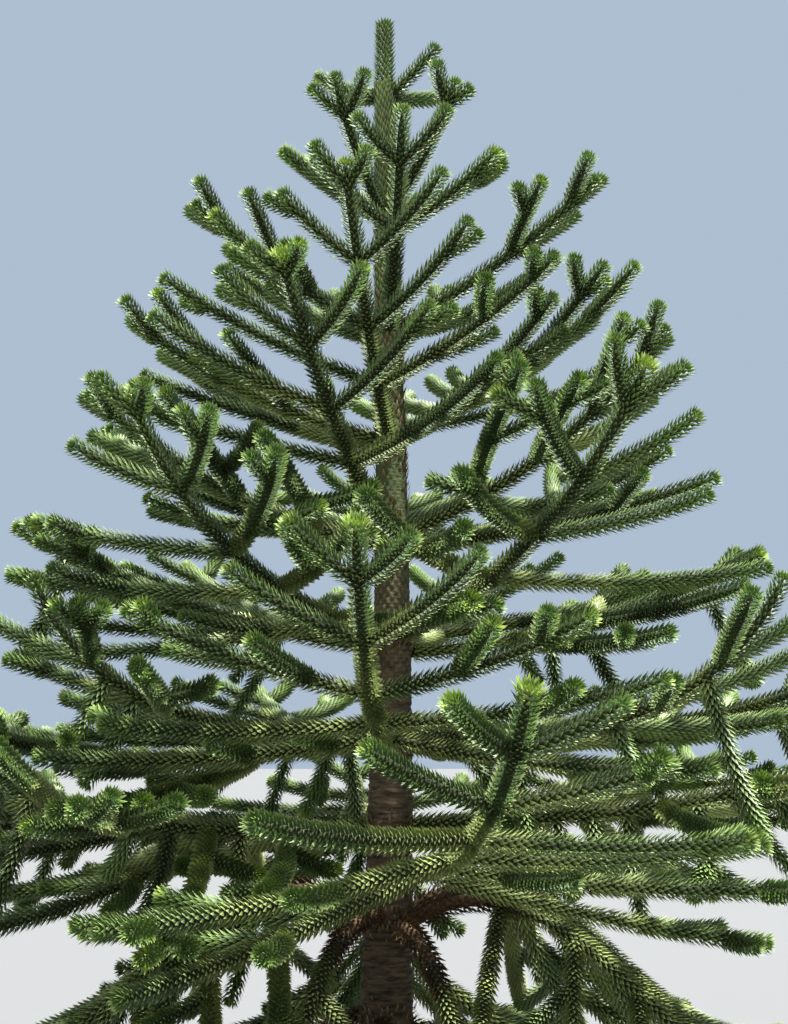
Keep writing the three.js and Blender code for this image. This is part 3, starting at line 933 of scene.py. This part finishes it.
# How far each age of leaf reaches: the least share of its reach, and the most that a shoot's shift adds
FACING_BUDS = (0.5, 0.4)
OTHER_BUDS = (-1.2, 1.7)
FRESH_SHARES = (0.2, 0.9)
GREEN_LEAST = 0.4
# green reach shrinks tier by tier, so lower tiers carry more of the brighter old leaves: partly painted
# light, darker at the top and brighter low down
GREEN_AT_TOP = 1.6
GREEN_LOST_PER_TIER = 0.12
DEAD_LEAST = 0.5


@dataclass
class Foliage:
    """The leaf-clad shoots of every tier: stems under ropes of leaves."""

    skeleton: Skeleton
    coat: LeafCoat
    stems: dict[str, list[tuple[Array, Array]]] = field(default_factory=dict)

    def grow(self) -> None:
        """Clothe every shoot and make its stem."""
        for number, shoot in enumerate(self.skeleton.shoots):
            tier = TIERS[shoot.tier]
            core = SIDE_CORE if shoot.tier == 0 else (BOUGH_CORE, SIDE_CORE, TWIG_CORE)[shoot.level]
            first = tier.limb if shoot.level == 0 else SIDE_FIRST_LEAF
            label = f"tier_{shoot.tier + 1}"
            shift = (number * GOLDEN_ANGLE) % 1
            facing = shoot.level == 0 and shoot.rank == 0 and shoot.tier >= FIRST_BRIGHT_TIER
            least, gain = FACING_BUDS if facing else OTHER_BUDS
            bud_reach = BUD_REACH * (least + gain * shift)
            scale = TOP_SCALE + SCALE_PER_TIER * shoot.tier
            swell = BUD_SWELL if bud_reach > TIP_REACH else 0
            blades, to_tip = self.coat.clothe(shoot, (first, shoot.length - TIP_REACH), LEAVES_PER_METRE,
                                              core, ROPE_LEAF, scale=scale, swell=swell)
            self.deal(label, shoot, shift, bud_reach, blades, to_tip)
            self.add_stem(label, shoot, first if tier.limb and shoot.level == 0 else -core[0], core)

    def deal(self, label: str, shoot: Shoot, shift: float, bud_reach: float, blades: Array,
             to_tip: Array) -> None:
        """Deal a shoot's leaves out to kinds by their age.

        Args:
            label: the tier's label.
            shoot: the shoot.
            shift: a number from 0 to 1 that shifts the shoot's ages.
            bud_reach: how far from the tip the newest leaves reach.
            blades: its leaves.
            to_tip: each leaf's distance from the shoot's tip.
        """
        age = to_tip + self.coat.rng.normal(0, AGE_BLUR, len(to_tip))
        fresh_reach = FRESH_REACH * (FRESH_SHARES[0] + FRESH_SHARES[1] * shift)
        # lower tiers get a shorter green reach and so more old leaves, which are partly painted light
        green_reach = (GREEN_REACH * (GREEN_LEAST + shift)
                       * (GREEN_AT_TOP - GREEN_LOST_PER_TIER * shoot.tier))
        kinds = np.select([age < bud_reach, age < fresh_reach, age < green_reach], [0, 1, 2], 3)
        if shoot.tier >= FIRST_DEAD_TIER and shoot.level == 0:
            alive = shoot.length - TIERS[shoot.tier].bare - DEAD_REACH * (DEAD_LEAST + shift)
            kinds[age > alive] = len(BY_AGE) - 1
        for index, kind in enumerate(BY_AGE):
            self.coat.add(label, kind, blades[kinds == index])

    def add_stem(self, label: str, shoot: Shoot, start: float, core: tuple[float, float]) -> None:
        """Add a shoot's stem as a tube that closes at the tip.

        Args:
            label: the tier's label.
            shoot: the shoot.
            start: where the tube starts, from the shoot's root.
            core: its radius at the root and at the tip.
        """
        end = shoot.length - TIP_REACH
        rings = max(CORE_FEWEST_RINGS, math.ceil((end - start) / CORE_STEP))
        distance = start + (end - start) * np.arange(rings + 1) / rings
        centre, _, side, up = shoot.sections(distance)
        radius = core[0] + (core[1] - core[0]) * distance / shoot.length
        radius[-1] = radius[-1] * CORE_TIP
        fan = np.arange(CORE_SIDES)
        after = (fan + 1) % CORE_SIDES
        turn = 2 * math.pi * fan / CORE_SIDES
        ring = side[:, None] * np.sin(turn)[None, :, None] + up[:, None] * np.cos(turn)[None, :, None]
        vertices = (centre[:, None] + ring * radius[:, None, None]).reshape(-1, 3)
        here = CORE_SIDES * np.arange(rings)[:, None] + fan
        onward = CORE_SIDES * np.arange(rings)[:, None] + after
        faces = np.stack([here, onward, onward + CORE_SIDES, here + CORE_SIDES], axis=-1).reshape(-1, 4)
        ends = centre[[0, -1]]
        last = CORE_SIDES * rings
        count = len(vertices)
        root_cap = np.stack([np.full(CORE_SIDES, count), after, fan], axis=-1)
        tip_cap = np.stack([np.full(CORE_SIDES, count + 1), last + fan, last + after], axis=-1)
        triangles = np.concatenate([faces[:, [0, 1, 2]], faces[:, [0, 2, 3]], root_cap, tip_cap])
        self.stems.setdefault(label, []).append((np.vstack([vertices, ends]), triangles))

    def stem_pieces(self) -> Iterator[tuple[str, Object]]:
        """Make one piece from each tier's stems.

        Yields:
            Each piece's tier and its object.
        """
        for label, parts in self.stems.items():
            offset = 0
            faces = []
            for vertices, triangles in parts:
                faces.append(triangles + offset)
                offset += len(vertices)
            vertices = np.concatenate([part[0] for part in parts]) * MM
            piece = mesh_object(f"stems_{label}", vertices, np.concatenate(faces))
            piece.data.materials.append(STEM_BARK_AND_PAINTED_SHADE.material())
            yield label, piece


# Bark: level wrinkles, pale scars and green young wood
SQUEEZE = (1, 1, 4.5)
RELIEF_DETAIL = 8
RELIEF_ROUGHNESS = 0.62
RELIEF_NOISE = (0.32, 0.68)
BARK_ROUGHNESS = 0.9
GREENING_SPAN = 0.6
GREENING_COLOUR = (74, 84, 44)
BUMP_STRENGTH = 0.6
BUMP_DISTANCE = 0.004


@cache
def relief_group() -> NodeTree:
    """Make the group that gives bark its level wrinkles: a colour and a height.

    Returns:
        The group, made once.
    """
    group, given = new_group("bark relief", {"Dark": COLOUR_SOCKET, "Light": COLOUR_SOCKET,
                                             "Scale": NUMBER_SOCKET},
                             {"Colour": COLOUR_SOCKET, "Height": NUMBER_SOCKET})
    squeezed = add_node(group, "ShaderNodeMapping", {"Vector": add_place(group), "Scale": SQUEEZE})
    wrinkles = add_node(group, "ShaderNodeTexNoise", {
        "Vector": squeezed.outputs["Vector"], "Scale": given["Scale"], "Detail": RELIEF_DETAIL,
        "Roughness": RELIEF_ROUGHNESS})
    height = add_range(group, wrinkles.outputs["Fac"], RELIEF_NOISE)
    colour = add_blend(group, height, given["Dark"], given["Light"])
    add_node(group, "NodeGroupOutput", {"Colour": colour, "Height": height})
    return group


@dataclass(frozen=True)
class BarkFinish:
    """Bark: level wrinkles, pale scars where "share" says so, and green wood above a height in metres."""

    name: str
    dark: Colour
    light: Colour
    scar: Colour
    scale: float
    green_above: float = 100.0

    @cache
    def material(self) -> Material:
        """Make the material.

        Returns:
            The material, made once.
        """
        material, tree, shader = new_material(self.name)
        relief = add_node(tree, "ShaderNodeGroup", {
            "Dark": linear(*self.dark), "Light": linear(*self.light), "Scale": self.scale},
            node_tree=relief_group()).outputs
        scarred = add_blend(tree, add_share(tree), relief["Colour"], linear(*self.scar))
        axes = add_node(tree, "ShaderNodeSeparateXYZ", {"Vector": add_place(tree)}).outputs
        greening = add_range(tree, axes["Z"], (self.green_above, self.green_above + GREENING_SPAN),
                             interpolation_type="SMOOTHSTEP")
        colour = add_blend(tree, greening, scarred, linear(*GREENING_COLOUR))
        bump = add_node(tree, "ShaderNodeBump", {
            "Strength": BUMP_STRENGTH, "Distance": BUMP_DISTANCE, "Height": relief["Height"]})
        join(tree, shader, {"Base Color": colour, "Roughness": BARK_ROUGHNESS,
                            "Normal": bump.outputs["Normal"]})
        return material


TRUNK_BARK = BarkFinish("trunk_bark", (30, 25, 18), (118, 98, 74), (140, 126, 96), 19, green_above=1.95)
# stems: a dark bark, partly painted shade that darkens the gaps between the leaves
STEM_BARK_AND_PAINTED_SHADE = BarkFinish("stem_bark_and_painted_shade", (34, 42, 22), (58, 62, 34), (60, 60, 40), 30)
LIMB_BARK = BarkFinish("limb_bark", (54, 40, 26), (108, 82, 54), (120, 96, 70), 26)

# Relief of the trunk's mesh: two noises with their scales along X, Y and Z, and the leaf scars
BROAD_WRINKLES = (9, 9, 38)
NARROW_WRINKLES = (24, 24, 85)
WRINKLE_LEVEL = 0.65
CREASE_DEPTH = 1.9
GRAIN_DEPTH = 0.5
SCARS_FADE_IN = 350
SCAR_GROOVE = 0.5
SCAR_EDGE = 0.4
SCAR_PALENESS = 0.7
RIM_FROM = 0.99

# Leaves on the trunk: those fallen and those dry start at an age, grow at a rate, and end at a share
STEM_LEAVES = 1700
STEM_LEAVES_PAST_TIP = 40
STEM_LEAN_WANDER = 0.06
STEM_LENGTH_WANDER = (0.85, 1.1)
FALLEN = (0.45, 1.6, 0.9)
DRIED = (0.35, 2.2, 0.85)
COLLAR_LEAN_WANDER = (0.4, 1.6)
COLLAR_LENGTH_WANDER = (0.7, 1.1)


@dataclass
class Trunk:
    """The trunk, with wrinkled bark low down and leaf scars and close leaves higher up."""

    coat: LeafCoat
    sides: int = 24
    fine_rings: int = 133
    coarse_rings: int = 38
    fine_height: float = 2400
    refinement: int = 2
    wrinkle_depth: float = 6
    scar_height: float = 19
    scars_round: int = 14
    scar_depth: float = 4
    scars_from: float = 1750
    leaves_from: float = 2250
    first_collar: int = 4
    collar_leaves: int = 150
    collar_offset: float = -10
    collar_spread: float = 32

    def build(self) -> Object:
        """Extrude the trunk ring by ring, refine it and carve its bark.

        Returns:
            The finished object.
        """
        fine = [self.fine_height / self.fine_rings * MM] * self.fine_rings
        coarse = [(TRUNK_TOP - self.fine_height) / self.coarse_rings * MM] * self.coarse_rings
        piece = extruded_cylinder("trunk_with_bark", self.sides, fine + coarse)
        refine = piece.modifiers.new("refine", "SUBSURF")
        refine.subdivision_type = "SIMPLE"
        refine.levels = refine.render_levels = self.refinement
        bpy.ops.object.modifier_apply(modifier=refine.name)
        self.carve(piece.data)
        bpy.ops.object.shade_smooth()
        piece.data.materials.append(TRUNK_BARK.material())
        return piece

    def carve(self, mesh: Mesh) -> None:
        """Move the round mesh's points to the trunk's shape with the bark's relief.

        Args:
            mesh: a unit cylinder's mesh, whose heights are already true.
        """
        points = points_of(mesh)
        height = points[:, 2] / MM
        angle = np.arctan2(points[:, 1], points[:, 0])
        share = np.hypot(points[:, 0], points[:, 1])
        radius = trunk_radius(height)
        lobe = 1 + ROOT_LOBE_DEPTH * np.cos(ROOT_LOBES * angle) * np.exp(-height / FLARE_HEIGHT)
        swells = [np.exp(-(((height - tier.height) / COLLAR_HEIGHT) ** 2)) for tier in TIERS]
        smooth = radius * lobe + COLLAR_SWELL * sum(swells)
        scars = self.scar_pattern(angle, height)
        scarred = np.clip((height - self.scars_from) / SCARS_FADE_IN, 0, 1)
        relief = self.wrinkles(angle, height, radius) * self.wrinkle_depth * (1 - scarred)
        relief = relief + (scars - SCAR_GROOVE) * self.scar_depth * scarred
        rim = share > RIM_FROM
        carved = np.where(rim, smooth + relief, (smooth - self.wrinkle_depth) * share)
        x = carved * np.cos(angle) + trunk_centre(height)
        move_points(mesh, np.stack([x, carved * np.sin(angle), height], axis=-1))
        pale = np.clip((scars - SCAR_GROOVE) / SCAR_EDGE, 0, 1) * scarred * SCAR_PALENESS
        set_shares(mesh, pale * rim)

    def scar_pattern(self, angle: Array, height: Array) -> Array:
        """Work out the diamond scars that fallen leaves left.

        Args:
            angle: each point's angle around the trunk in radians.
            height: each point's height.

        Returns:
            The height, from 0 in the grooves to 1 in the scars' middles.
        """
        across = self.scars_round * angle / (2 * math.pi)
        upward = height / (2 * self.scar_height)
        return 0.5 + 0.5 * np.cos(2 * math.pi * across) * np.cos(2 * math.pi * upward)

    def wrinkles(self, angle: Array, height: Array, radius: Array) -> Array:
        """Work out the bark's level wrinkles.

        Args:
            angle: each point's angle around the trunk in radians.
            height: each point's height.
            radius: the trunk's radius at each point.

        Returns:
            The relief, about from -1 to 1.
        """
        places = np.stack([radius * np.cos(angle), radius * np.sin(angle), height], axis=-1) * MM
        broad, narrow = (np.array([noise.noise(Vector(place)) for place in places * scale])
                         for scale in (BROAD_WRINKLES, NARROW_WRINKLES))
        return WRINKLE_LEVEL - CREASE_DEPTH * np.abs(broad) + GRAIN_DEPTH * narrow

    def stand(self, shape: LeafShape, height: Array, radius: Array, lean: Array,
              length: Array) -> Array:
        """Work out leaves that stand on the trunk in a spiral.

        Args:
            shape: the leaf.
            height: each leaf's height.
            radius: each root's distance from the trunk's centre line.
            lean: each leaf's angle to the trunk in radians.
            length: each leaf's length.

        Returns:
            The blades.
        """
        count = len(height)
        turn = np.arange(count) * GOLDEN_ANGLE
        outward = np.stack([np.cos(turn), np.sin(turn), np.zeros(count)], axis=-1)
        along = np.tile([0.0, 0.0, 1.0], (count, 1))
        centre = np.stack([trunk_centre(height), np.zeros(count), height], axis=-1)
        return self.coat.blades(centre + outward * radius[:, None], along, outward, lean, length, shape)

    def clothe(self) -> None:
        """Set close, upward leaves on the young trunk, fewer and drier further down."""
        rng = self.coat.rng
        span = TRUNK_TOP + STEM_LEAVES_PAST_TIP - self.leaves_from
        height = self.leaves_from + span * (np.arange(STEM_LEAVES) + 0.5) / STEM_LEAVES
        age = (TRUNK_TOP - height) / (TRUNK_TOP - self.leaves_from)
        fallen, dried = (np.clip((age - start) * rate, 0, most) for start, rate, most in (FALLEN, DRIED))
        shown = rng.uniform(0, 1, STEM_LEAVES) > fallen
        lean = np.radians(STEM_LEAF.lean) + rng.normal(0, STEM_LEAN_WANDER, STEM_LEAVES)
        length = STEM_LEAF.length * rng.uniform(*STEM_LENGTH_WANDER, STEM_LEAVES)
        blades = self.stand(STEM_LEAF, height, trunk_radius(height) - LEAF_SINK, lean, length)
        dry = rng.uniform(0, 1, STEM_LEAVES) < dried
        self.coat.add("trunk", LeafKind.STEM, blades[shown & ~dry])
        self.coat.add("trunk", LeafKind.DRY, blades[shown & dry])
        for tier in TIERS[self.first_collar:]:
            self.clothe_collar(tier.height)

    def clothe_collar(self, tier_height: float) -> None:
        """Set a ring of dry leaves where a tier of boughs leaves the trunk.

        Args:
            tier_height: the tier's height.
        """
        rng = self.coat.rng
        count = self.collar_leaves
        height = tier_height + rng.normal(self.collar_offset, self.collar_spread, count)
        lean = np.radians(COLLAR_LEAF.lean) * rng.uniform(*COLLAR_LEAN_WANDER, count)
        length = COLLAR_LEAF.length * rng.uniform(*COLLAR_LENGTH_WANDER, count)
        radius = trunk_radius(height) + COLLAR_SWELL - 2 * LEAF_SINK
        self.coat.add("trunk", LeafKind.DRY, self.stand(COLLAR_LEAF, height, radius, lean, length))

    def clothe_leader(self) -> None:
        """Set the leader's leaves over the trunk's tip."""
        start = np.array([trunk_centre(TRUNK_TOP), 0, TRUNK_TOP], float)
        leader = Shoot(start, azimuth=0, swing=0, rise_start=90, rise_end=90, bend=1,
                       length=TREE_HEIGHT - TRUNK_TOP, level=0, tier=0, bough=-1)
        blades, to_tip = self.coat.clothe(leader, (0, leader.length - TIP_REACH), LEADER_LEAVES_PER_METRE,
                                          LEADER_CORE, LEADER_LEAF)
        self.coat.add("leader", LeafKind.FRESH, blades[to_tip < BUD_REACH])
        self.coat.add("leader", LeafKind.GREEN, blades[to_tip >= BUD_REACH])


@dataclass
class Limbs:
    """The foot of each bough of the ninth tier, with wrinkled bark under leaves that have died."""

    skeleton: Skeleton
    coat: LeafCoat
    sides: int = 20
    rings: int = 60
    root_radius: float = 26
    end_radius: float = 17
    root_sink: float = 12
    first_leaf: float = 30
    wrinkle_depth: float = 2.2
    wrinkles_round: float = 2
    wrinkles_per_mm: float = 0.11

    def build(self) -> Iterator[tuple[str, Object]]:
        """Make each limb and clothe it in dead leaves.

        Yields:
            The CAD node that each limb replaces, and its object.
        """
        for shoot in self.skeleton.shoots:
            limb = TIERS[shoot.tier].limb
            if shoot.level == 0 and limb:
                node = f"limb_{shoot.tier + 1}_{shoot.rank + 1}"
                blades, _ = self.coat.clothe(shoot, (self.first_leaf, limb), LIMB_LEAVES_PER_METRE,
                                             (self.root_radius, self.end_radius), DEAD_LEAF, tipped=False)
                self.coat.add(node, LeafKind.DEAD, blades)
                yield node, self.tube(node, shoot, limb)

    def tube(self, node: str, shoot: Shoot, limb: float) -> Object:
        """Extrude one limb ring by ring and bend it along its shoot.

        Args:
            node: the CAD node that it replaces.
            shoot: the bough.
            limb: how long the limb is.

        Returns:
            The finished object.
        """
        piece = extruded_cylinder(f"bark_of_{node}", self.sides, [1 / self.rings] * self.rings)
        points = points_of(piece.data)
        x, y, z = points.T
        centre, _, side, up = shoot.sections(-self.root_sink + (limb + self.root_sink) * z)
        places = np.stack([x * self.wrinkles_round + shoot.azimuth, y * self.wrinkles_round,
                           z * limb * self.wrinkles_per_mm], axis=-1)
        relief = np.array([noise.noise(Vector(place)) for place in places])
        radius = self.root_radius + (self.end_radius - self.root_radius) * z + self.wrinkle_depth * relief
        move_points(piece.data, centre + side * (x * radius)[:, None] + up * (y * radius)[:, None])
        turn_outwards()
        bpy.ops.object.shade_smooth()
        piece.data.materials.append(LIMB_BARK.material())
        return piece


@dataclass(frozen=True)
class Sun:
    """A lamp far away: the direction that it shines from, its strength and its angle in degrees."""

    name: str
    direction: tuple[float, float, float]
    strength: float
    angle: float


@dataclass
class Studio:
    """The pale floor, the soft lights and the camera."""

    eye: tuple[float, float, float] = (0.035, -5.6, 1.6)
    pitch: float = 8.55
    lens: float = 58
    sensor: float = 36
    far_end: float = 1000
    floor_radius: float = 300
    floor_sides: int = 96
    floor_height: float = -0.002
    floor_colour: Colour = (112, 112, 110)
    floor_roughness: float = 0.9
    sky_colour: Colour = (200, 218, 240)
    sky_strength: float = 0.74
    suns: tuple[Sun, ...] = (
        Sun("key", (0.3, -0.12, 0.95), strength=12, angle=3),
        Sun("fill", (-0.45, -0.65, 0.6), strength=0.8, angle=40))
    lamp_height: float = 8

    def set_up(self) -> None:
        """Make the floor, the lights and the camera."""
        self.add_floor()
        self.add_lights()
        self.add_camera()

    def add_floor(self) -> None:
        """Lay a pale floor just under the tree."""
        bpy.ops.object.select_all(action="DESELECT")
        bpy.ops.mesh.primitive_circle_add(vertices=self.floor_sides, radius=self.floor_radius,
                                          fill_type="NGON", location=(0, 0, self.floor_height))
        floor = bpy.context.object
        floor.name = "floor"
        material, tree, shader = new_material("floor")
        join(tree, shader, {
            "Base Color": linear(*self.floor_colour), "Roughness": self.floor_roughness})
        floor.data.materials.append(material)

    def add_lights(self) -> None:
        """Light the tree from above under an even sky, with a faint fill from the front left."""
        world = bpy.data.worlds.new("studio")
        world.use_nodes = True
        join(world.node_tree, world.node_tree.nodes["Background"], {
            "Color": linear(*self.sky_colour), "Strength": self.sky_strength})
        bpy.context.scene.world = world
        bpy.context.scene.view_settings.view_transform = "Standard"
        for sun in self.suns:
            bpy.ops.object.light_add(type="SUN", location=(0, 0, self.lamp_height))
            lamp = bpy.context.object
            lamp.name = sun.name
            lamp.data.energy = sun.strength
            lamp.data.angle = math.radians(sun.angle)
            lamp.rotation_euler = Vector(sun.direction).to_track_quat("Z", "Y").to_euler()

    def add_camera(self) -> None:
        """Set the camera where the photograph was taken from."""
        camera_data = bpy.data.cameras.new("camera")
        camera_data.sensor_width = self.sensor
        camera_data.lens = self.lens
        camera_data.clip_end = self.far_end
        camera = bpy.data.objects.new("camera", camera_data)
        bpy.context.collection.objects.link(camera)
        camera.location = self.eye
        camera.rotation_euler = (math.radians(90 + self.pitch), 0, 0)
        bpy.context.scene.camera = camera


def tier_nodes(label: str) -> list[str]:
    """Find the CAD nodes that the pieces under a label replace.

    Args:
        label: a tier's label, or the name of the trunk, the leader or a limb.

    Returns:
        The nodes' names.
    """
    if label in ("leader", "tier_1"):
        return ["crown_top"]
    if label == "trunk" or label.startswith("limb_"):
        return [label]
    prefix = f"foliage_{label.removeprefix('tier_')}_"
    return [name for name in frame["nodes"] if name.startswith(prefix)]


def settle(piece: Object, slot: str, nodes: list[str]) -> None:
    """Fix a piece to the tree's body and hide the CAD nodes that it replaces.

    Args:
        piece: the piece.
        slot: not used.
        nodes: the nodes that it replaces.
    """
    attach(piece, "root")
    if nodes:
        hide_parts(*nodes)
    LOG.info("%s: %d faces", piece.name, len(piece.data.polygons))


def main() -> None:
    """Build the tree and the studio."""
    logging.basicConfig(level=logging.INFO, format="%(name)s: %(message)s")
    Studio().set_up()
    coat = LeafCoat()
    trunk = Trunk(coat)
    settle(trunk.build(), "bark", ["trunk"])
    trunk.clothe()
    trunk.clothe_leader()
    skeleton = Skeleton()
    LOG.info("%d shoots", len(skeleton.shoots))
    foliage = Foliage(skeleton, coat)
    foliage.grow()
    for node, piece in Limbs(skeleton, coat).build():
        settle(piece, "dead_leaf_limb", [node])
    for label, piece in foliage.stem_pieces():
        settle(piece, "leaves", tier_nodes(label))
    for label, kind, piece in coat.pieces():
        settle(piece, kind.value.slot, tier_nodes(label))


if __name__ == "__main__":
    main()
